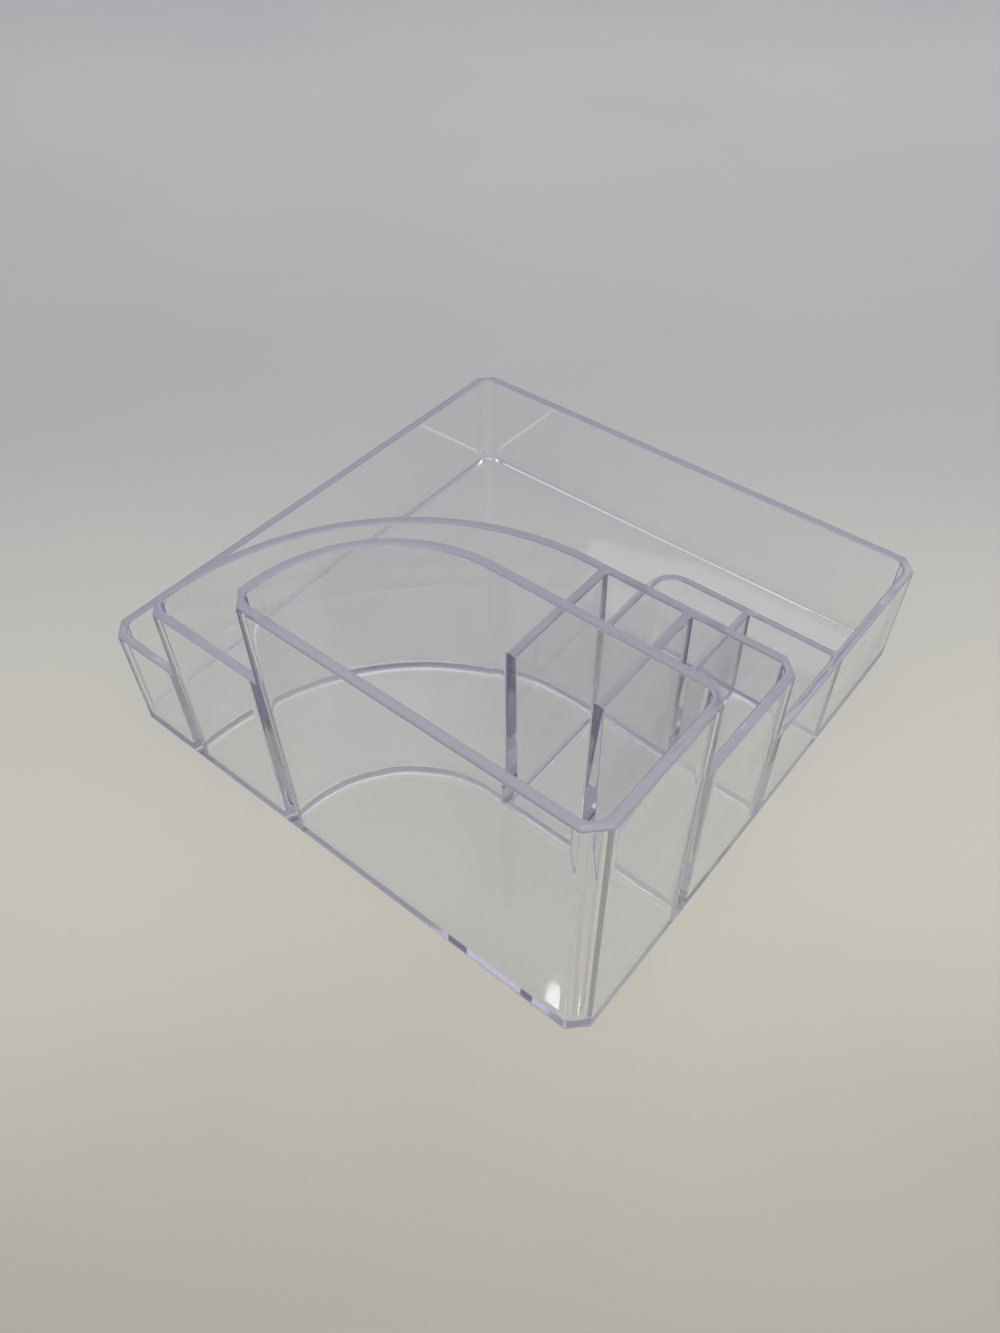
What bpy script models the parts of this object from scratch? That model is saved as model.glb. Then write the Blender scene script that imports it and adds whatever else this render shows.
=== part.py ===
"""Clear makeup organizer: one square moulding in three stepped heights.

The floor, the four outer walls, the two curved tier walls, the two tier dividers and the two walls
of the rear cells are separate solids, a fine seam apart. Lengths are in metres, +Z is up, and the
origin is the centre of the underside. The tall tier stands at the corner towards -X and -Y, which
is called the front corner: plan positions below are measured from it at table level.
"""

import math

import bmesh
import bpy
from mathutils import Matrix, Vector

# Whole moulding
footprint = 0.185
low_height = 0.0397
mid_height = 0.0673
tall_height = 0.0964
floor_thickness = 0.0022
outer_wall = 0.0030
corner_chamfer = 0.0051

# Curved tier walls, with the radius of the rear face at the rim. The middle one leaves the tray a
# narrow end of a set width behind it.
tier_centre_x = 0.0067
tier_centre_y = 0.0682
tall_tier_radius = 0.0446
tray_end_width = 0.0281
tier_wall = 0.0030

# Dividers and rear cells, placed by the middle of each wall. The cells stand against the middle
# tier's rear face.
divider_wall = 0.0030
divider_left_y = 0.0629
divider_right_y = 0.0340
cell_wall = 0.0024
cell_depth = 0.0359
cell_side_y = 0.0636
cell_partition_y = 0.0326
cell_corner_radius = 0.0083

# Moulding details
outer_lean = math.radians(0.65)
draft = math.radians(0.6)
cove_radius = 0.0018
rim_radius = 0.0009
foot_radius = 0.0006
corner_radius = 0.0050
tier_end_radius = 0.0020
junction_radius = 0.0005
foot_land = 0.0008
seam = 0.0003
overrun = 0.0060

# Facets in a quarter turn
tier_facets = 22
cell_facets = 8
fillet_facets = 5
edge_facets = 3

# Values that follow from the sizes above
quarter_turn = math.radians(90)
wall_foot = floor_thickness + seam
outer_foot = outer_wall + cove_radius
far_side = footprint + overrun
mid_tier_radius = footprint - tray_end_width - tier_centre_y
cell_rear_x = tier_centre_x + mid_tier_radius + cell_depth


def clear_scene():
    for old in list(bpy.data.objects):
        bpy.data.objects.remove(old)


def new_collection(name):
    collection = bpy.data.collections.new(name)
    bpy.context.scene.collection.children.link(collection)
    return collection


def clear_plastic(name):
    """Colourless clear plastic for one piece."""
    material = bpy.data.materials.new(name)
    material.use_nodes = True
    shader = material.node_tree.nodes["Principled BSDF"]
    shader.inputs["Base Color"].default_value = (0.93, 0.94, 0.96, 1.0)
    shader.inputs["Roughness"].default_value = 0.06
    shader.inputs["Metallic"].default_value = 0.0
    shader.inputs["IOR"].default_value = 1.49
    shader.inputs["Transmission Weight"].default_value = 1.0
    return material


def arc(centre, radius, start, end, facets):
    """Points on an arc, both ends included. Angles are in radians."""
    angles = [start + (end - start) * i / facets for i in range(facets + 1)]
    return [(centre[0] + radius * math.cos(a), centre[1] + radius * math.sin(a)) for a in angles]


def raised_outline(name, outline, bottom, steps, collection):
    """A flat outline raised in steps, each an inset and a rise, and closed below.

    The outline is given from the front corner, and the mesh from the centre of the underside.
    """
    bm = bmesh.new()
    foot = [bm.verts.new((x - footprint / 2, y - footprint / 2, bottom)) for x, y in outline]
    top = bm.faces.new(foot)
    top.normal_update()
    if top.normal.z < 0:
        top.normal_flip()
    for inset, rise in steps:
        bmesh.ops.inset_region(
            bm, faces=[top], thickness=inset, use_even_offset=True, use_boundary=True
        )
        bmesh.ops.translate(bm, verts=list(top.verts), vec=Vector((0, 0, rise)))
    bm.faces.new(foot)
    bmesh.ops.recalc_face_normals(bm, faces=bm.faces)
    mesh = bpy.data.meshes.new(name)
    bm.to_mesh(mesh)
    bm.free()
    obj = bpy.data.objects.new(name, mesh)
    collection.objects.link(obj)
    return obj


def cutter(name, outline, bottom, steps):
    obj = raised_outline(name, outline, bottom, steps, cutters)
    obj.hide_render = True
    obj.display_type = "WIRE"
    return obj


def cut(obj, tool, operation="DIFFERENCE"):
    modifier = obj.modifiers.new(tool.name, "BOOLEAN")
    modifier.operation = operation
    modifier.solver = "EXACT"
    modifier.object = tool


def cove_steps(radius):
    """Insets and rises of a hollow quarter round at the foot of a wall."""
    turns = [quarter_turn * i / edge_facets for i in range(edge_facets + 1)]
    return [
        (radius * (math.sin(b) - math.sin(a)), radius * (math.cos(a) - math.cos(b)))
        for a, b in zip(turns, turns[1:])
    ]


def rim_steps(radius):
    """Insets and rises of a raised quarter round along a rim."""
    return [(rise, inset) for inset, rise in cove_steps(radius)]


def drafted_rise(height):
    """The straight part of an inner wall, between its cove and its rounded rim."""
    return height - wall_foot - cove_radius - rim_radius


def foot_reach(thickness, height):
    """From the middle of an inner wall to the edge of its cove."""
    return thickness / 2 + drafted_rise(height) * math.tan(draft) + cove_radius


def offset_path(path, distance):
    """An open path moved sideways, to its right where the distance is positive."""
    moved = []
    for i, point in enumerate(path):
        along = Vector(path[min(i + 1, len(path) - 1)]) - Vector(path[max(i - 1, 0)])
        right = Vector((along.y, -along.x)).normalized()
        moved.append(tuple(Vector(point) + right * distance))
    return moved


def flare(path, reach, radius, shoulder, tail, side):
    """One side of the first stretch of a wall, which widens in a fillet to the wall that it meets.

    The shoulder lies inside that wall. It is wide enough for the insets above it.
    """
    start = Vector(path[0])
    along = Vector(path[1]) - start
    radius = min(radius, along.length - tail - seam)
    along.normalize()
    across = Vector((along.y, -along.x)) * side
    centre = (tail + radius, reach + radius)
    fillet = arc(centre, radius, 2 * quarter_turn, 3 * quarter_turn, fillet_facets)
    block = [(0, reach + radius + shoulder), (tail, reach + radius + shoulder)]
    return [tuple(start + along * s + across * r) for s, r in block + fillet]


def wall_side(path, reach, radius, shoulder, tails):
    """The right-hand side of a wall, from end to end."""
    first = flare(path, reach, radius, shoulder, tails[0], 1)
    last = flare(path[::-1], reach, radius, shoulder, tails[1], -1)
    return first + offset_path(path, reach)[1:-1] + last[::-1]


def inner_wall(name, path, thickness, height, radius, tails):
    """A wall that stands on the floor: coved foot, drafted sides, rounded rim and filleted ends.

    The radius is that of the end fillets at the foot. A tail is the length of path, at each end,
    that lies in the neighbouring wall and its cove.
    """
    reach = foot_reach(thickness, height)
    shoulder = reach - thickness / 2 + rim_radius + seam
    outline = wall_side(path, reach, radius, shoulder, tails)
    outline += wall_side(path[::-1], reach, radius, shoulder, tails[::-1])
    rise = drafted_rise(height)
    steps = cove_steps(cove_radius) + [(rise * math.tan(draft), rise)] + rim_steps(rim_radius)
    return raised_outline(name, outline, wall_foot, steps, parts)


def seam_block(name, path, thickness, height, side):
    """An inner wall, a seam on one of its sides and all that lies behind its other side, as a cutter.

    The side is 1 for the seam on the right of the path, and -1 for the left.
    """
    reach = foot_reach(thickness, height) + seam
    outline = offset_path(path, side * reach)
    if side > 0:
        outline += [(path[-1][0], path[0][1])]
    else:
        outline += [(path[-1][0], far_side), (far_side, far_side), (far_side, path[0][1])]
    rise = drafted_rise(height) + overrun
    steps = [(0, seam)] + cove_steps(cove_radius) + [(rise * math.tan(draft), rise)]
    return cutter(name, outline, wall_foot - seam, steps)


def tier_path(radius):
    """The middle line of a tier wall, from beyond the -Y outer wall to beyond the -X outer wall."""
    middle = radius - tier_wall / 2
    turn = arc((tier_centre_x, tier_centre_y), middle, 0, quarter_turn, tier_facets)
    return [(turn[0][0], -overrun)] + turn + [(-overrun, turn[-1][1])]


def chamfered_square(inset):
    """The outline of the whole moulding, drawn in by an inset all round."""
    low, high = inset, footprint - inset
    leg = corner_chamfer - inset * (2 - math.sqrt(2))
    near, far = low + leg, high - leg
    points = [(near, low), (far, low), (high, near), (high, far)]
    points += [(far, high), (near, high), (low, far), (low, near)]
    return points


def rounded_square(inset, radius):
    """The outline of the floor's flat part, drawn in from the footprint."""
    low = inset + radius
    high = footprint - low
    corners = [(high, low), (high, high), (low, high), (low, low)]
    points = []
    for i, centre in enumerate(corners):
        points += arc(centre, radius, (i - 1) * quarter_turn, i * quarter_turn, fillet_facets)
    return points


def inner_space(name, inset, bottom, foot_steps):
    """The space inside the outer walls, coved at the floor and leaning out with them, as a cutter."""
    outline = rounded_square(outer_foot + inset, corner_radius - cove_radius)
    rise = tall_height + overrun - floor_thickness - cove_radius
    cove = [(-draw, lift) for draw, lift in cove_steps(cove_radius)]
    steps = foot_steps + cove + [(-rise * math.tan(outer_lean), rise)]
    return cutter(name, outline, bottom, steps)


def tier_ledge(name, radius, height, rim_below):
    """The space behind a tier above the rim below it, with the tier's chamfered ends, as a cutter."""
    gap = (height - rim_below) * math.tan(draft) + seam
    face = -height * math.tan(outer_lean)
    rear_x = tier_centre_x + radius
    rear_y = tier_centre_y + radius
    inner_end = face + corner_chamfer + gap
    outline = [(rear_x - corner_chamfer - overrun, face - overrun), (rear_x + gap, inner_end)]
    outline += arc((tier_centre_x, tier_centre_y), radius + gap, 0, quarter_turn, tier_facets)
    outline += [(inner_end, rear_y + gap), (face - overrun, rear_y - corner_chamfer - overrun)]
    outline += [(face - overrun, far_side), (far_side, far_side), (far_side, face - overrun)]
    return cutter(name, outline, rim_below, [(0, tall_height + overrun - rim_below)])


def side_sector(name, turns):
    """The quarter of the plan that holds one outer wall, up to a mitre seam at each corner."""
    middle = footprint / 2
    apex = seam / math.sqrt(2)
    reach = middle + 2 * overrun
    corners = [(-apex, 0), (-apex - reach, -reach), (-apex - reach, reach)]
    turned = [Matrix.Rotation(turns * quarter_turn, 2) @ Vector(corner) for corner in corners]
    outline = [(middle + point.x, middle + point.y) for point in turned]
    return cutter(name, outline, -overrun, [(0, tall_height + 2 * overrun)])


def rounded_rims(obj, heights):
    """Applies an outer wall's cuts and rounds its rims, but not its mitred ends."""
    depsgraph = bpy.context.evaluated_depsgraph_get()
    mesh = bpy.data.meshes.new_from_object(obj.evaluated_get(depsgraph))
    obj.modifiers.clear()
    bm = bmesh.new()
    bm.from_mesh(mesh)
    rims = []
    for edge in bm.edges:
        ends = [vert.co.z for vert in edge.verts]
        level = any(max(abs(z - height) for z in ends) < seam for height in heights)
        tops = [face for face in edge.link_faces if face.normal.z > math.cos(draft)]
        sides = [face for face in edge.link_faces if face.normal.z <= math.cos(draft)]
        if not level or len(tops) != 1 or len(sides) != 1:
            continue
        middle = (edge.verts[0].co + edge.verts[1].co).to_2d().normalized()
        if abs(middle.dot(sides[0].normal.to_2d())) > math.sin(draft):
            rims.append(edge)
    bmesh.ops.bevel(
        bm, geom=rims, offset=rim_radius, segments=edge_facets, profile=0.5, affect="EDGES",
        clamp_overlap=True,
    )
    bm.to_mesh(mesh)
    bm.free()
    obj.data = mesh


def outer_wall_side(name, turns, ledges):
    """One outer wall: its share of the chamfered corners, rounded foot, cove and stepped rim."""
    rise = tall_height - foot_radius
    steps = [(-draw, lift) for draw, lift in cove_steps(foot_radius)]
    steps += [(-rise * math.tan(outer_lean), rise)]
    outline = chamfered_square(foot_radius - foot_radius * math.tan(outer_lean))
    obj = raised_outline(name, outline, 0, steps, parts)
    cut(obj, side_sector(name + "_sector", turns), "INTERSECT")
    cut(obj, outer_pocket)
    cut(obj, floor_gap)
    for ledge in ledges:
        cut(obj, ledge)
    rounded_rims(obj, (low_height, mid_height, tall_height))
    return obj


clear_scene()
parts = new_collection("makeup_organizer")
cutters = new_collection("cutters")

# Floor plate, a seam inside the feet of the outer walls
gap_edge = outer_foot + foot_land
gap_radius = corner_radius - cove_radius - foot_land
floor_outline = rounded_square(gap_edge + seam, gap_radius - seam)
raised_outline("base_floor", floor_outline, 0, [(0, floor_thickness)], parts)

# Outer walls
outer_pocket = inner_space("outer_pocket", 0, floor_thickness, [])
gap_outline = rounded_square(gap_edge, gap_radius)
floor_gap = cutter("floor_gap", gap_outline, -overrun, [(0, floor_thickness + 2 * overrun)])
tall_ledge = tier_ledge("tall_ledge", tall_tier_radius, tall_height, mid_height)
mid_ledge = tier_ledge("mid_ledge", mid_tier_radius, mid_height, low_height)
outer_wall_side("front_left_wall", 0, [tall_ledge, mid_ledge])
outer_wall_side("front_right_wall", 1, [tall_ledge, mid_ledge])
outer_wall_side("back_right_wall", 2, [tall_ledge, mid_ledge])
outer_wall_side("back_left_wall", 3, [tall_ledge, mid_ledge])

# Curved tier walls
trim_space = inner_space("trim_space", seam, wall_foot - seam / 2, [(0, seam / 2)])
outer_tails = [overrun + outer_foot, overrun + outer_foot]
tall_path = tier_path(tall_tier_radius)
mid_path = tier_path(mid_tier_radius)
tall_wall = inner_wall(
    "tall_tier_wall", tall_path, tier_wall, tall_height, tier_end_radius, outer_tails
)
cut(tall_wall, trim_space, "INTERSECT")
cut(tall_wall, tall_ledge)
mid_wall = inner_wall(
    "mid_tier_wall", mid_path, tier_wall, mid_height, tier_end_radius, outer_tails
)
cut(mid_wall, trim_space, "INTERSECT")
cut(mid_wall, mid_ledge)

# Dividers between the tier walls
tall_reach = foot_reach(tier_wall, tall_height)
mid_reach = foot_reach(tier_wall, mid_height)
tall_side = seam_block("tall_side", tall_path, tier_wall, tall_height, 1)
mid_front = seam_block("mid_front", mid_path, tier_wall, mid_height, -1)
mid_rear = seam_block("mid_rear", mid_path, tier_wall, mid_height, 1)
tall_x = tall_path[0][0]
mid_x = mid_path[0][0]
divider_tails = [overrun + tall_reach, overrun + mid_reach]
for name, y in (("tier_divider_left", divider_left_y), ("tier_divider_right", divider_right_y)):
    path = [(tall_x - overrun, y), (mid_x + overrun, y)]
    divider = inner_wall(name, path, divider_wall, mid_height, junction_radius, divider_tails)
    cut(divider, tall_side)
    cut(divider, mid_front)

# Walls of the rear cells
turn_centre = (cell_rear_x - cell_corner_radius, cell_side_y - cell_corner_radius)
cell_turn = arc(turn_centre, cell_corner_radius, 0, quarter_turn, cell_facets)
cell_path = [(cell_rear_x, -overrun)] + cell_turn + [(mid_x - overrun, cell_side_y)]
cell_reach = foot_reach(cell_wall, low_height)
cell_tails = [overrun + outer_foot, overrun + mid_reach]
rear_wall = inner_wall(
    "cell_rear_wall", cell_path, cell_wall, low_height, junction_radius, cell_tails
)
cut(rear_wall, trim_space, "INTERSECT")
cut(rear_wall, mid_rear)
cell_front = seam_block("cell_front", cell_path, cell_wall, low_height, -1)
partition_path = [(mid_x - overrun, cell_partition_y), (cell_rear_x + overrun, cell_partition_y)]
partition_tails = [overrun + mid_reach, overrun + cell_reach]
partition = inner_wall(
    "cell_partition", partition_path, cell_wall, low_height, junction_radius, partition_tails
)
cut(partition, mid_rear)
cut(partition, cell_front)

for part in parts.objects:
    part.data.materials.append(clear_plastic(part.name))
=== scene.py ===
"""Looks of the clear makeup organizer: one seamless clear moulding on a pale table.

Lengths are in metres. The frame's origin is the centre of the underside, and the tall tier stands
at the corner towards -X and -Y, called the front corner: plan positions are measured from it.
"""

import math

import bmesh
import bpy
from mathutils import Matrix, Vector


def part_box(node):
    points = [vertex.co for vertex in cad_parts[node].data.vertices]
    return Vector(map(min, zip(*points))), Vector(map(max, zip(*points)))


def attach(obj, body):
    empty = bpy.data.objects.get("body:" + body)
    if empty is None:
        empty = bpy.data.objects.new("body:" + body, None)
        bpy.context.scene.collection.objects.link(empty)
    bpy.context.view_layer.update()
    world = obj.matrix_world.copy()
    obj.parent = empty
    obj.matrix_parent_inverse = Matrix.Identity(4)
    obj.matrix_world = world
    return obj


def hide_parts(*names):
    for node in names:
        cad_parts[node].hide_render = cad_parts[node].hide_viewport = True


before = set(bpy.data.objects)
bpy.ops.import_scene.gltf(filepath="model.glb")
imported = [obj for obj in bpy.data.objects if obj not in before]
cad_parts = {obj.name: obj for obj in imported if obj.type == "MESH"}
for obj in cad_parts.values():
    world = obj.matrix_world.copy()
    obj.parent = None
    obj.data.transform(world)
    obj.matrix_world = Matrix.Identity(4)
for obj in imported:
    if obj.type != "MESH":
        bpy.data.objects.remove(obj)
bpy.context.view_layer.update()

# Camera, as the photograph was taken
camera_place = (-0.19591, -0.15443, 0.27705)
camera_azimuth = math.radians(40.052)
camera_pitch = math.radians(47.374)
camera_roll = math.radians(-1.17655)
camera_lens = 28.894
camera_sensor = 36.0
camera_near = 0.01

# The photograph's direction laid level. The table's colours and the screen keep to it.
level_view = (math.cos(camera_azimuth), math.sin(camera_azimuth), 0)

# Table, with painted light in its colours at distances from the middle along level_view: a painted
# shadow nearest the camera, a painted pool of light across the middle, greyer beyond and pale far
# off
table_gap = 0.0002
table_half = 1.5
painted_light_bands = (
    (-0.20, (0.33, 0.312, 0.27, 1.0)),
    (-0.12, (0.48, 0.46, 0.395, 1.0)),
    (-0.04, (0.52, 0.505, 0.445, 1.0)),
    (0.07, (0.46, 0.452, 0.43, 1.0)),
    (0.15, (0.40, 0.398, 0.405, 1.0)),
    (0.27, (0.42, 0.418, 0.423, 1.0)),
    (0.60, (0.56, 0.56, 0.56, 1.0)),
)
table_cloud_scale = 6.0
table_grain_scale = 900.0
table_cloud_detail = 3.0
table_grain_detail = 2.0
table_grain_strength = 0.15
table_grain_depth = 0.0002
table_waver = (-0.015, 0.015)
table_roughness = (0.45, 0.6)

# Sizes taken from the frame
low_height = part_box("back_left_wall")[1].z
mid_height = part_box("mid_tier_wall")[1].z
tall_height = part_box("tall_tier_wall")[1].z
floor_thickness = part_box("base_floor")[1].z

# Moulding, with the tier radii at the rim
footprint = 0.185
outer_wall = 0.0030
corner_chamfer = 0.0051
tier_centre = (0.0067, 0.0682)
tall_tier_radius = 0.0446
mid_tier_radius = 0.0887
tier_wall = 0.0030
divider_wall = 0.0030
divider_left_y = 0.0629
divider_right_y = 0.0340
cell_wall = 0.0024
cell_rear_x = 0.1313
cell_side_y = 0.0636
cell_partition_y = 0.0326
cell_corner_radius = 0.0083

# Edges and corners
outer_lean = math.radians(0.65)
draft = math.radians(0.6)
cove_radius = 0.0018
rim_radius = 0.0009
corner_radius = 0.0050
tier_front_radius = 0.0036
tier_rear_radius = 0.0020
junction_radius = 0.0010
junction_skip_share = 1 / 3
edge_radius = 0.0012
foot_radius = 0.0006
buried = 0.0010
touch = 0.00001
overrun = 0.0060
merge_distance = 0.00002
level_tolerance = 0.000003
sharp_angle = math.radians(35)

# Lamps, each a rectangle aimed at the middle, with its first side level
warm_white = (1.0, 0.975, 0.93)
white = (1.0, 1.0, 1.0)
ceiling_place = (-0.25, -0.45, 1.2)
ceiling_size = (1.6, 1.6)
ceiling_power = 15
window_place = (0.59, 0.20, 0.55)
window_size = (0.3, 0.1)
window_power = 0.06
desk_place = (0.31, 0.165, 0.95)
desk_size = (0.05, 0.09)
desk_power = 0.11

# Room, as colours of light and ranges of direction
room_low = (0.42, 0.43, 0.47, 1.0)
room_high = (0.86, 0.87, 0.90, 1.0)
room_high_at = 0.75
screen_colour = (0.09, 0.12, 0.26, 1.0)
screen_side = (0.1, 0.5)
screen_top = (0.42, 0.52)
world_strength = 0.75
noise_range = (0.3, 0.7)

# Clear plastic: its tints, the painted light and shade of its rims and of light thrown inside it,
# and the scales of its unevenness to the metre
plastic_colour = (0.955, 0.96, 0.975, 1.0)
pane_tint = (0.95, 0.952, 0.965, 1.0)
# Painted shade: light thrown about inside the walls leaves darkened to this violet grey
leaving_painted_shade = (0.50, 0.51, 0.60, 1.0)
passing_tint = (0.95, 0.95, 0.97, 1.0)
# Painted glow: light that has crossed too many walls ends in this emission of the room's mean
# colour
painted_room_glow = (0.24, 0.25, 0.35, 1.0)
# Painted light on the rims: a matt lavender-grey, mixed in by this share, stands in for the light
# carried up the walls
painted_rim_light = (0.36, 0.35, 0.43, 1.0)
rim_painted_share = 0.55
rim_facing = (0.1, 0.6)
refractive_index = 1.53
plastic_roughness = (0.01, 0.05)
handling_scale = 70.0
handling_detail = 4.0
flow_scale = 35.0
flow_detail = 1.0
flow_strength = 0.2
flow_depth = 0.0005

# How often light is thrown, bounces or crosses a wall before a simpler surface takes over
thrown_limit = 2.5
bounce_limit = 8.5
first_crossing = 0.5
crossing_limit = 5.5

# Facets in a quarter turn
tier_facets = 44
corner_facets = 8
cove_facets = 6
rim_facets = 4
quarter_turn = math.radians(90)


def arc(centre, radius, start, end, facets):
    """Points on an arc, both ends included. Its ends are in quarter turns."""
    angles = [(start + (end - start) * i / facets) * quarter_turn for i in range(facets + 1)]
    return [(centre[0] + radius * math.cos(a), centre[1] + radius * math.sin(a)) for a in angles]


def tier_arc(radius, start, end):
    return arc(tier_centre, radius, start, end, tier_facets)


def fillet(centre, radius, start, end):
    return arc(centre, radius, start, end, corner_facets)


def rounded(x, y, towards, radius, start):
    """A rounded corner between lines at x and y. Its centre lies towards the given signs."""
    centre = (x + towards[0] * radius, y + towards[1] * radius)
    return fillet(centre, radius, start, start + 1)


def add_object(name, data):
    obj = bpy.data.objects.new(name, data)
    bpy.context.scene.collection.objects.link(obj)
    return obj


def loft(name, rings):
    """A closed mesh through outlines of equally many points, each with its height."""
    bm = bmesh.new()
    loops = []
    for outline, z in rings:
        loops.append([bm.verts.new((x - footprint / 2, y - footprint / 2, z)) for x, y in outline])
    for lower, upper in zip(loops, loops[1:]):
        for i in range(len(lower)):
            bm.faces.new((lower[i - 1], lower[i], upper[i], upper[i - 1]))
    bm.faces.new(loops[0])
    bm.faces.new(loops[-1])
    bmesh.ops.recalc_face_normals(bm, faces=bm.faces)
    mesh = bpy.data.meshes.new(name)
    bm.to_mesh(mesh)
    bm.free()
    return add_object(name, mesh)


def outer_face(z):
    """The inner face of an outer wall, from the front corner."""
    return outer_wall - z * math.tan(outer_lean)


def thickening(z, height):
    """How far each side of an inner wall stands out from its place at the rim."""
    return (height - z) * math.tan(draft)


def tall_front(z):
    return tall_tier_radius - tier_wall - thickening(z, tall_height)


def tall_rear(z):
    return tall_tier_radius + thickening(z, tall_height)


def mid_front(z):
    return mid_tier_radius - tier_wall - thickening(z, mid_height)


def mid_rear(z):
    return mid_tier_radius + thickening(z, mid_height)


def quarter_round(radius, facets):
    """Pairs of a way in and a height, from the foot of a quarter round to its top."""
    turns = [quarter_turn * i / facets for i in range(facets + 1)]
    return [(radius * (1 - math.sin(a)), radius * (1 - math.cos(a))) for a in turns]


def pocket_levels(top):
    """Pairs of cove and height from the floor to the top of a pocket."""
    cove = [(way, floor_thickness + rise) for way, rise in quarter_round(cove_radius, cove_facets)]
    return cove + [(0, top)]


def wall_levels(height):
    """The same for a wall, from inside the floor."""
    return [(cove_radius, floor_thickness / 2)] + pocket_levels(height)


def outer_outline(inset):
    """The chamfered square, with each of its eight corners rounded a little."""
    low, high = inset, footprint - inset
    near, far = low + corner_chamfer, high - corner_chamfer
    corners = [(near, low), (far, low), (high, near), (high, far)]
    corners += [(far, high), (near, high), (low, far), (low, near)]
    turn = quarter_turn / 2
    reach = edge_radius * math.tan(turn / 2)
    points = []
    for i, corner in enumerate(corners):
        along = Vector((math.cos((i - 1) * turn), math.sin((i - 1) * turn)))
        across = Vector((-along.y, along.x))
        centre = Vector(corner) - along * reach + across * edge_radius
        points += arc(centre, edge_radius, i / 2 - 1.5, i / 2 - 1, rim_facets)
    return points


def outer_form():
    rings = []
    for way, z in quarter_round(foot_radius, rim_facets) + [(0, tall_height)]:
        rings.append((outer_outline(way - z * math.tan(outer_lean)), z))
    return loft("clear_organizer", rings)


def tall_pocket():
    rings = []
    for cove, z in pocket_levels(tall_height + overrun):
        wall = outer_face(z) + cove
        radius = tall_front(z) - cove
        x, y = tier_centre[0] + radius, tier_centre[1] + radius
        outline = rounded(wall, wall, (1, 1), corner_radius - cove, 2)
        outline += rounded(x, wall, (-1, 1), tier_front_radius - cove, 3)
        outline += tier_arc(radius, 0, 1)
        outline += rounded(wall, y, (1, -1), tier_front_radius - cove, 1)
        rings.append((outline, z))
    return loft("tall_pocket", rings)


def mid_pocket():
    rings = []
    for cove, z in pocket_levels(mid_height):
        wall = outer_face(z) + cove
        near, far = tall_rear(z) + cove, mid_front(z) - cove
        near_x, near_y = tier_centre[0] + near, tier_centre[1] + near
        far_x, far_y = tier_centre[0] + far, tier_centre[1] + far
        outline = rounded(near_x, wall, (1, 1), tier_rear_radius - cove, 2)
        outline += rounded(far_x, wall, (-1, 1), tier_front_radius - cove, 3)
        outline += tier_arc(far, 0, 1)
        outline += rounded(wall, far_y, (1, -1), tier_front_radius - cove, 1)
        outline += rounded(wall, near_y, (1, 1), tier_rear_radius - cove, 2)
        outline += tier_arc(near, 1, 0)
        rings.append((outline, z))
    return loft("mid_pocket", rings)


def tray_pocket():
    rings = []
    for cove, z in pocket_levels(low_height):
        wall = outer_face(z) + cove
        far = footprint - wall
        near = mid_rear(z) + cove
        near_x, near_y = tier_centre[0] + near, tier_centre[1] + near
        outline = rounded(near_x, wall, (1, 1), tier_rear_radius - cove, 2)
        outline += rounded(far, wall, (-1, 1), corner_radius - cove, 3)
        outline += rounded(far, far, (-1, -1), corner_radius - cove, 0)
        outline += rounded(wall, far, (1, -1), corner_radius - cove, 1)
        outline += rounded(wall, near_y, (1, 1), tier_rear_radius - cove, 2)
        outline += tier_arc(near, 1, 0)
        rings.append((outline, z))
    return loft("tray_pocket", rings)


def ledge(name, rear, height, bottom):
    """All that lies behind a tier above the rim below it, with the tier's chamfered ends."""
    rings = []
    far = footprint + overrun
    face = -height * math.tan(outer_lean)
    slant = corner_chamfer + overrun
    for z in (bottom, tall_height + overrun):
        radius = rear(z)
        x, y = tier_centre[0] + radius, tier_centre[1] + radius
        outline = [(x - slant, face - overrun), (far, face - overrun), (far, far)]
        outline += [(face - overrun, far), (face - overrun, y - slant)]
        outline += [(face + corner_chamfer, y)] + tier_arc(radius, 1, 0)
        outline += [(x, face + corner_chamfer)]
        rings.append((outline, z))
    return loft(name, rings)


def junction():
    """A junction's fillet: its skipped turns, and its centre's reach and its start from the face.

    A fillet leaves the face that a wall meets at a clear angle, as a rim ends badly on a tangent.
    """
    skip = junction_skip_share * quarter_turn
    return junction_skip_share, junction_radius * math.cos(skip), junction_radius * math.sin(skip)


def straight_wall(name, y, thickness, height, ends):
    """A wall along X between the radii that its ends give, with filleted ends."""
    rings = []
    r = junction_radius
    skip, reach, start = junction()
    for cove, z in wall_levels(height):
        half = thickness / 2 + thickening(z, height) + cove
        left, right = ends(z)
        left, right = tier_centre[0] + left - touch, tier_centre[0] + right + touch
        low, high = y - half - r, y + half + r
        outline = [(left - buried, low + start)] + fillet((left + reach, low), r, 2 - skip, 1)
        outline += fillet((right - reach, low), r, 1, skip) + [(right + buried, low + start)]
        outline += [(right + buried, high - start)]
        outline += fillet((right - reach, high), r, 4 - skip, 3)
        outline += fillet((left + reach, high), r, 3, 2 + skip)
        outline += [(left - buried, high - start)]
        rings.append((outline, z))
    return loft(name, rings)


def divider_ends(z):
    return tall_rear(z), mid_front(z)


def partition_ends(z):
    return mid_rear(z), cell_rear_x - cell_wall / 2 - thickening(z, low_height) - tier_centre[0]


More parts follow.
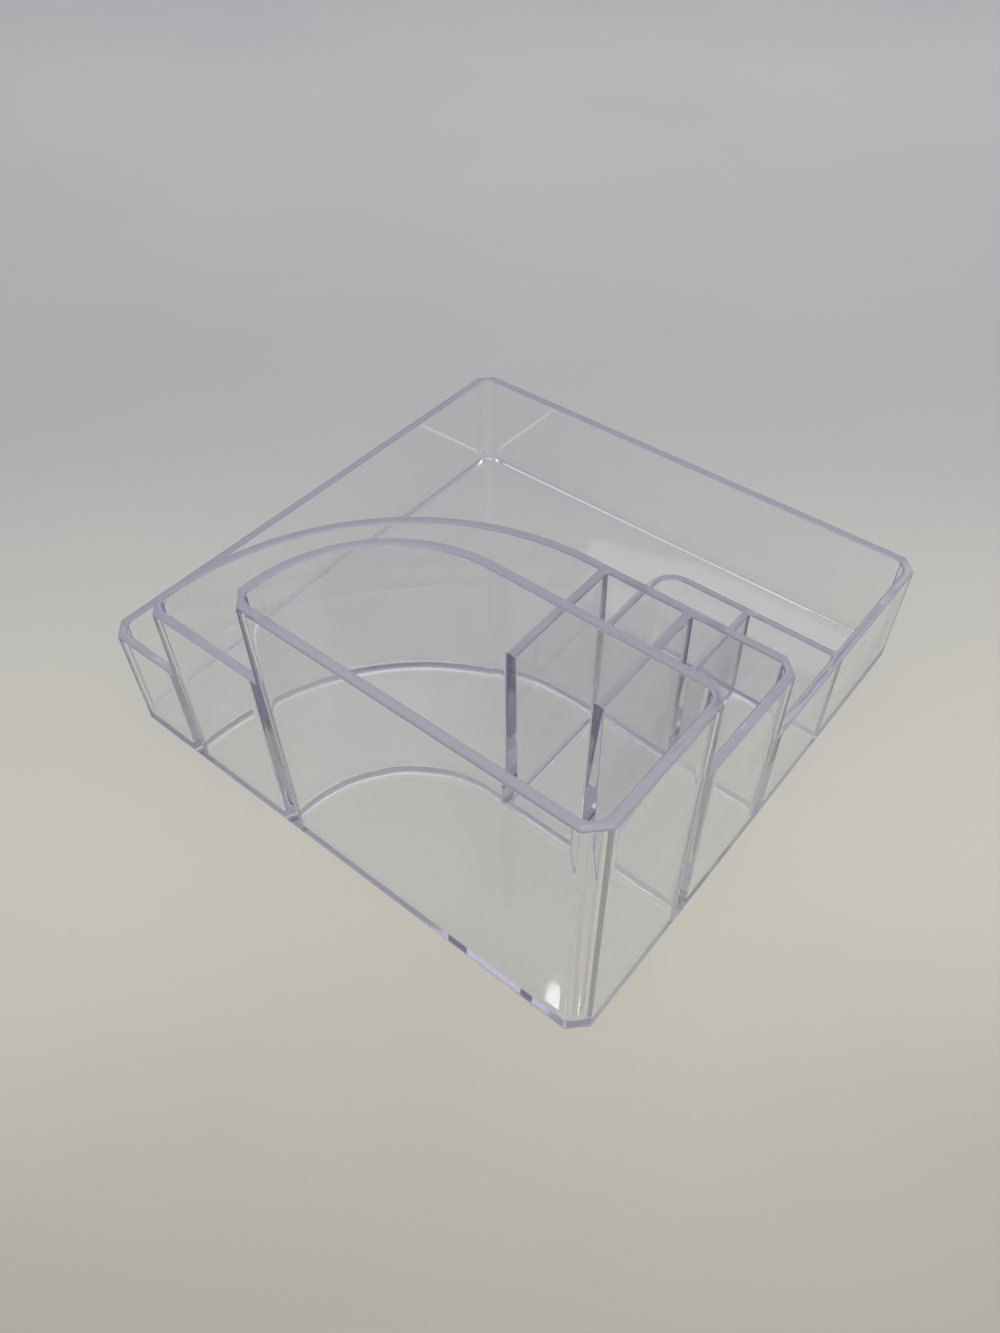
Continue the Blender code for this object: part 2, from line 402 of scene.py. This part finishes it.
def cell_wall_loop():
    """The rear cells' outer wall, from the outer wall round a corner to the middle tier."""
    rings = []
    r = junction_radius
    skip, reach, start = junction()
    turn = (cell_rear_x - cell_corner_radius, cell_side_y - cell_corner_radius)
    for cove, z in wall_levels(low_height):
        half = cell_wall / 2 + thickening(z, low_height) + cove
        x, y = tier_centre[0] + mid_rear(z) - touch, outer_face(z) - touch
        left, right = cell_rear_x - half - r, cell_rear_x + half + r
        low, high = cell_side_y - half - r, cell_side_y + half + r
        outline = [(left + start, y - buried), (right - start, y - buried)]
        outline += fillet((right, y + reach), r, 3 - skip, 2)
        outline += fillet(turn, cell_corner_radius + half, 0, 1)
        outline += fillet((x + reach, high), r, 3, 2 + skip)
        outline += [(x - buried, high - start), (x - buried, low + start)]
        outline += fillet((x + reach, low), r, 2 - skip, 1)
        outline += fillet(turn, cell_corner_radius - half, 1, 0)
        outline += fillet((left, y + reach), r, 4, 3 + skip)
        rings.append((outline, z))
    return loft("cell_wall_loop", rings)


def combine(obj, tools, operation):
    for tool in tools:
        modifier = obj.modifiers.new(tool.name, "BOOLEAN")
        modifier.operation = operation
        modifier.solver = "EXACT"
        modifier.object = tool


def on_level(element, heights):
    return any(all(abs(v.co.z - z) < level_tolerance for v in element.verts) for z in heights)


def round_rims(bm, heights):
    """Rounds the edges of the level rims, then closes the flat that is left of each rim anew."""
    flats = [face for face in bm.faces if on_level(face, heights) and face.normal.z > 0]
    bmesh.ops.triangulate(bm, faces=flats, quad_method="BEAUTY", ngon_method="BEAUTY")
    flats = {face for face in bm.faces if on_level(face, heights) and face.normal.z > 0}
    rims = [e for e in bm.edges if e.is_convex and sum(f in flats for f in e.link_faces) == 1]
    bmesh.ops.bevel(
        bm, geom=rims, offset=rim_radius, segments=rim_facets, profile=0.5, affect="EDGES"
    )
    bmesh.ops.remove_doubles(bm, verts=bm.verts, dist=level_tolerance)
    for z in heights:
        flats = {face for face in bm.faces if on_level(face, [z])}
        border = {e for f in flats for e in f.edges if any(g not in flats for g in e.link_faces)}
        bmesh.ops.delete(bm, geom=list(flats), context="FACES_KEEP_BOUNDARY")
        bmesh.ops.triangle_fill(bm, edges=list(border), use_beauty=True, normal=(0, 0, 1))
    bmesh.ops.delete(bm, geom=[v for v in bm.verts if not v.link_faces], context="VERTS")
    bmesh.ops.recalc_face_normals(bm, faces=bm.faces)


def moulding():
    """The whole organizer as one solid."""
    obj = outer_form()
    tall_ledge = ledge("tall_ledge", tall_rear, tall_height, mid_height)
    mid_ledge = ledge("mid_ledge", mid_rear, mid_height, low_height)
    cuts = [tall_pocket(), mid_pocket(), tray_pocket(), tall_ledge, mid_ledge]
    walls = []
    for name, y in (("divider_left", divider_left_y), ("divider_right", divider_right_y)):
        walls.append(straight_wall(name, y, divider_wall, mid_height, divider_ends))
    walls.append(cell_wall_loop())
    ends = partition_ends
    walls.append(straight_wall("partition", cell_partition_y, cell_wall, low_height, ends))
    combine(obj, cuts, "DIFFERENCE")
    combine(obj, walls, "UNION")
    depsgraph = bpy.context.evaluated_depsgraph_get()
    mesh = bpy.data.meshes.new_from_object(obj.evaluated_get(depsgraph))
    obj.modifiers.clear()
    for tool in cuts + walls:
        bpy.data.objects.remove(tool)
    bm = bmesh.new()
    bm.from_mesh(mesh)
    bmesh.ops.remove_doubles(bm, verts=bm.verts, dist=merge_distance)
    round_rims(bm, (low_height, mid_height, tall_height))
    bm.to_mesh(mesh)
    bm.free()
    for polygon in mesh.polygons:
        polygon.use_smooth = True
    mesh.set_sharp_from_angle(angle=sharp_angle)
    obj.data = mesh
    obj.modifiers.new("even_shading", "WEIGHTED_NORMAL").keep_sharp = True
    return obj


def place_camera():
    """The camera, turned about the vertical, tilted down and then rolled a little."""
    data = bpy.data.cameras.new("camera")
    data.lens = camera_lens
    data.sensor_width = camera_sensor
    data.clip_start = camera_near
    camera = add_object("camera", data)
    level = Vector(level_view)
    ahead = level * math.cos(camera_pitch) - Vector((0, 0, math.sin(camera_pitch)))
    right = Vector((math.sin(camera_azimuth), -math.cos(camera_azimuth), 0))
    up = right.cross(ahead)
    turned_right = right * math.cos(camera_roll) + up * math.sin(camera_roll)
    turned_up = up * math.cos(camera_roll) - right * math.sin(camera_roll)
    axes = Matrix((turned_right, turned_up, -ahead)).transposed()
    camera.matrix_world = Matrix.Translation(camera_place) @ axes.to_4x4()
    bpy.context.scene.camera = camera


def add_light(name, place, size, power, colour):
    """A rectangular lamp, aimed at the middle."""
    data = bpy.data.lights.new(name, "AREA")
    data.shape = "RECTANGLE"
    data.size, data.size_y = size
    data.energy = power
    data.color = colour
    light = add_object(name, data)
    light.location = place
    light.rotation_euler = (-Vector(place)).to_track_quat("-Z", "Y").to_euler()


def noise(tree, place, scale, detail):
    node = tree.nodes.new("ShaderNodeTexNoise")
    node.inputs["Scale"].default_value = scale
    node.inputs["Detail"].default_value = detail
    tree.links.new(place, node.inputs["Vector"])
    return node.outputs[0]


def spread(tree, value, source, target):
    """A value's range, spread over another range."""
    node = tree.nodes.new("ShaderNodeMapRange")
    node.inputs["From Min"].default_value, node.inputs["From Max"].default_value = source
    node.inputs["To Min"].default_value, node.inputs["To Max"].default_value = target
    tree.links.new(value, node.inputs["Value"])
    return node.outputs[0]


def bump(tree, height, strength, distance):
    node = tree.nodes.new("ShaderNodeBump")
    node.inputs["Strength"].default_value = strength
    node.inputs["Distance"].default_value = distance
    tree.links.new(height, node.inputs["Height"])
    return node.outputs[0]


def maths(tree, operation, first, second):
    """A maths node. Its second operand is a number or another output."""
    node = tree.nodes.new("ShaderNodeMath")
    node.operation = operation
    tree.links.new(first, node.inputs[0])
    if isinstance(second, (int, float)):
        node.inputs[1].default_value = second
    else:
        tree.links.new(second, node.inputs[1])
    return node.outputs[0]


def mix(tree, factor, first, second):
    node = tree.nodes.new("ShaderNodeMixShader")
    tree.links.new(factor, node.inputs[0])
    tree.links.new(first, node.inputs[1])
    tree.links.new(second, node.inputs[2])
    return node.outputs[0]


def transparent(tree, colour):
    node = tree.nodes.new("ShaderNodeBsdfTransparent")
    node.inputs["Color"].default_value = colour
    return node.outputs[0]


def way_ahead(tree, place):
    """How far a place lies, or a direction points, along level_view."""
    node = tree.nodes.new("ShaderNodeVectorMath")
    node.operation = "DOT_PRODUCT"
    node.inputs[1].default_value = level_view
    tree.links.new(place, node.inputs[0])
    return node.outputs["Value"]


def studio_world():
    """A pale room. In reflections only, a blue screen stands low down behind the organizer."""
    world = bpy.data.worlds.new("studio")
    bpy.context.scene.world = world
    world.use_nodes = True
    tree = world.node_tree
    background = tree.nodes["Background"]
    axes = tree.nodes.new("ShaderNodeSeparateXYZ")
    towards = tree.nodes.new("ShaderNodeTexCoord").outputs["Generated"]
    tree.links.new(towards, axes.inputs[0])
    ramp = tree.nodes.new("ShaderNodeValToRGB")
    tree.links.new(axes.outputs["Z"], ramp.inputs[0])
    ramp.color_ramp.elements[0].position = 0.0
    ramp.color_ramp.elements[0].color = room_low
    ramp.color_ramp.elements[1].position = room_high_at
    ramp.color_ramp.elements[1].color = room_high
    behind = spread(tree, way_ahead(tree, towards), screen_side, (0, 1))
    low = spread(tree, axes.outputs["Z"], screen_top, (1, 0))
    path = tree.nodes.new("ShaderNodeLightPath")
    direct, through = path.outputs["Is Camera Ray"], path.outputs["Is Transmission Ray"]
    reflected = spread(tree, maths(tree, "MAXIMUM", direct, through), (0, 1), (1, 0))
    screen = tree.nodes.new("ShaderNodeMix")
    screen.data_type = "RGBA"
    place = maths(tree, "MULTIPLY", behind, low)
    tree.links.new(maths(tree, "MULTIPLY", place, reflected), screen.inputs["Factor"])
    tree.links.new(ramp.outputs[0], screen.inputs["A"])
    screen.inputs["B"].default_value = screen_colour
    tree.links.new(screen.outputs["Result"], background.inputs["Color"])
    background.inputs["Strength"].default_value = world_strength


def painted_rim_share(tree, place):
    """How far a spot belongs to a rim: it faces up and lies above the floor. That share is painted
    with the rims' light.
    """
    normal = tree.nodes.new("ShaderNodeSeparateXYZ")
    tree.links.new(tree.nodes.new("ShaderNodeNewGeometry").outputs["Normal"], normal.inputs[0])
    axes = tree.nodes.new("ShaderNodeSeparateXYZ")
    tree.links.new(place, axes.inputs[0])
    high = maths(tree, "GREATER_THAN", axes.outputs["Z"], low_height / 2)
    facing = spread(tree, normal.outputs["Z"], rim_facing, (0, rim_painted_share))
    return maths(tree, "MULTIPLY", high, facing)


def clear_plastic():
    """Clear moulded plastic, a little uneven and handled, with rims partly painted a matt
    lavender-grey: painted light standing in for the light the walls carry up to them.

    Light that passes through to or from a matt surface isn't bent. Light that has been thrown to
    and fro inside the walls leaves straight, darkened to a violet grey as painted shade, and what
    then crosses too many of them ends in a painted glow of the mean colour of the room.
    """
    material = bpy.data.materials.new("clear_plastic")
    material.use_nodes = True
    tree = material.node_tree
    shader = tree.nodes["Principled BSDF"]
    shader.inputs["Base Color"].default_value = plastic_colour
    shader.inputs["IOR"].default_value = refractive_index
    shader.inputs["Transmission Weight"].default_value = 1.0
    place = tree.nodes.new("ShaderNodeTexCoord").outputs["Object"]
    handling = noise(tree, place, handling_scale, handling_detail)
    roughness = spread(tree, handling, noise_range, plastic_roughness)
    tree.links.new(roughness, shader.inputs["Roughness"])
    flow = noise(tree, place, flow_scale, flow_detail)
    tree.links.new(bump(tree, flow, flow_strength, flow_depth), shader.inputs["Normal"])
    # Painted light: the rims' matt lavender-grey
    rim_light = tree.nodes.new("ShaderNodeBsdfDiffuse")
    rim_light.inputs["Color"].default_value = painted_rim_light
    solid = mix(tree, painted_rim_share(tree, place), shader.outputs[0], rim_light.outputs[0])
    path = tree.nodes.new("ShaderNodeLightPath")
    thrown = maths(tree, "GREATER_THAN", path.outputs["Glossy Depth"], thrown_limit)
    passed = maths(tree, "GREATER_THAN", path.outputs["Ray Depth"], bounce_limit)
    deep = maths(tree, "MAXIMUM", thrown, passed)
    plain = maths(tree, "MAXIMUM", path.outputs["Is Shadow Ray"], path.outputs["Is Diffuse Ray"])
    left = maths(tree, "GREATER_THAN", path.outputs["Transparent Depth"], first_crossing)
    spent = maths(tree, "GREATER_THAN", path.outputs["Transparent Depth"], crossing_limit)
    # Painted glow of the room's mean colour, where light has crossed too many walls
    room = tree.nodes.new("ShaderNodeEmission")
    room.inputs["Color"].default_value = painted_room_glow
    passing = mix(tree, spent, transparent(tree, passing_tint), room.outputs[0])
    # Painted shade on leaving, after being thrown about inside the walls
    leaving = mix(tree, left, transparent(tree, leaving_painted_shade), passing)
    inside = mix(tree, deep, solid, leaving)
    surface = mix(tree, plain, inside, transparent(tree, pane_tint))
    tree.links.new(surface, tree.nodes["Material Output"].inputs["Surface"])
    return material


def table_material():
    """A pale, matt table top with a faint grain and a little unevenness in its sheen. Its colour
    carries painted light and shade in bands along level_view, their edges wavering a little.
    """
    material = bpy.data.materials.new("pale_table")
    material.use_nodes = True
    tree = material.node_tree
    shader = tree.nodes["Principled BSDF"]
    place = tree.nodes.new("ShaderNodeTexCoord").outputs["Object"]
    clouds = noise(tree, place, table_cloud_scale, table_cloud_detail)
    grain = noise(tree, place, table_grain_scale, table_grain_detail)
    near, far = painted_light_bands[0][0], painted_light_bands[-1][0]
    waver = spread(tree, clouds, noise_range, table_waver)
    wavering = maths(tree, "ADD", way_ahead(tree, place), waver)
    # Painted shadow and painted pool of light, as colour bands along level_view
    ramp = tree.nodes.new("ShaderNodeValToRGB")
    ramp.color_ramp.interpolation = "B_SPLINE"
    tree.links.new(spread(tree, wavering, (near, far), (0, 1)), ramp.inputs[0])
    for depth_at, colour in painted_light_bands[1:-1]:
        ramp.color_ramp.elements.new((depth_at - near) / (far - near)).color = colour
    ramp.color_ramp.elements[0].color = painted_light_bands[0][1]
    ramp.color_ramp.elements[-1].color = painted_light_bands[-1][1]
    tree.links.new(ramp.outputs[0], shader.inputs["Base Color"])
    roughness = spread(tree, clouds, noise_range, table_roughness)
    tree.links.new(roughness, shader.inputs["Roughness"])
    relief = bump(tree, grain, table_grain_strength, table_grain_depth)
    tree.links.new(relief, shader.inputs["Normal"])
    return material


def add_table():
    mesh = bpy.data.meshes.new("table")
    corners = [(-1, -1), (1, -1), (1, 1), (-1, 1)]
    points = [(table_half * x, table_half * y, -table_gap) for x, y in corners]
    mesh.from_pydata(points, [], [range(4)])
    table = add_object("table", mesh)
    mesh.materials.append(table_material())


bpy.context.scene.view_settings.view_transform = "Standard"
place_camera()
studio_world()
add_table()
add_light("ceiling_light", ceiling_place, ceiling_size, ceiling_power, warm_white)
add_light("window_light", window_place, window_size, window_power, white)
add_light("desk_light", desk_place, desk_size, desk_power, white)

organizer = moulding()
organizer.data.materials.append(clear_plastic())
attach(organizer, "root")
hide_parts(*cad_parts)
